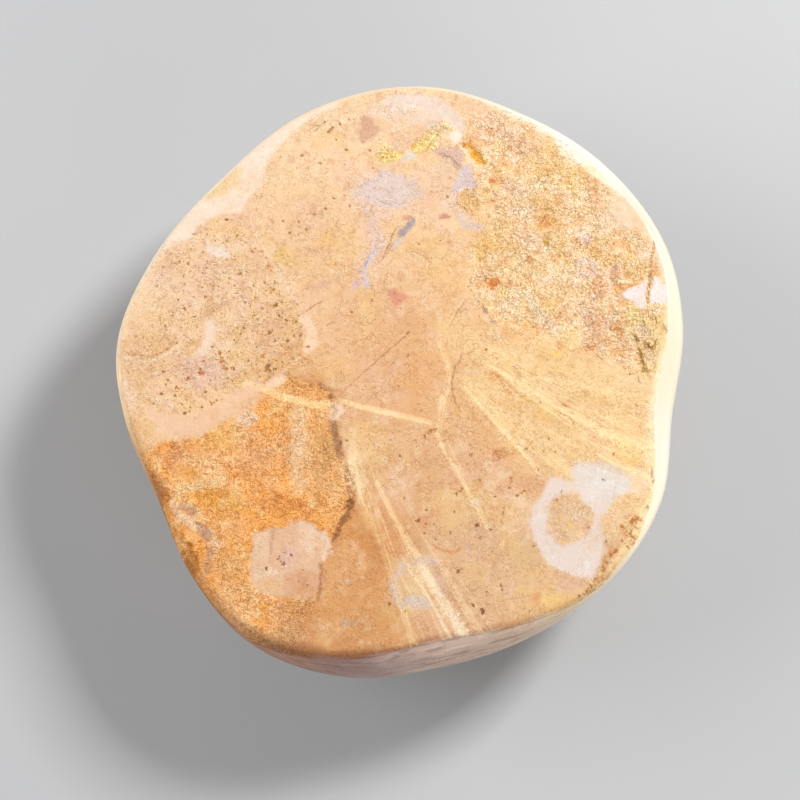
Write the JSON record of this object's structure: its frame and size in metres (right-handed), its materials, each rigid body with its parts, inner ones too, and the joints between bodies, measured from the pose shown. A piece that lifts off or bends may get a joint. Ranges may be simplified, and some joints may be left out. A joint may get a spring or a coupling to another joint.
{
  "type": "polished fossil sea urchin",
  "caption": "Rounded five-lobed fossil sea biscuit, sawn flat and ground on its base, polished on its rim and low petalled dome, lying on its crown.",
  "frame": {"origin": "on the resting plane, under the middle of the box around the rim", "axes": "+Z up out of the sawn face, +Y along the longer way across the stone, +X to the right when the sawn face is seen from above with +Y up"},
  "size_m": [0.105, 0.1134, 0.026],
  "materials": {
    "stone": "matt ground base of sandy limestone with pale shell sections and small pits; polished cream rim and dome"
  },
  "bodies": {
    "root": {"fossil_urchin": "stone"}
  },
  "joints": []
}
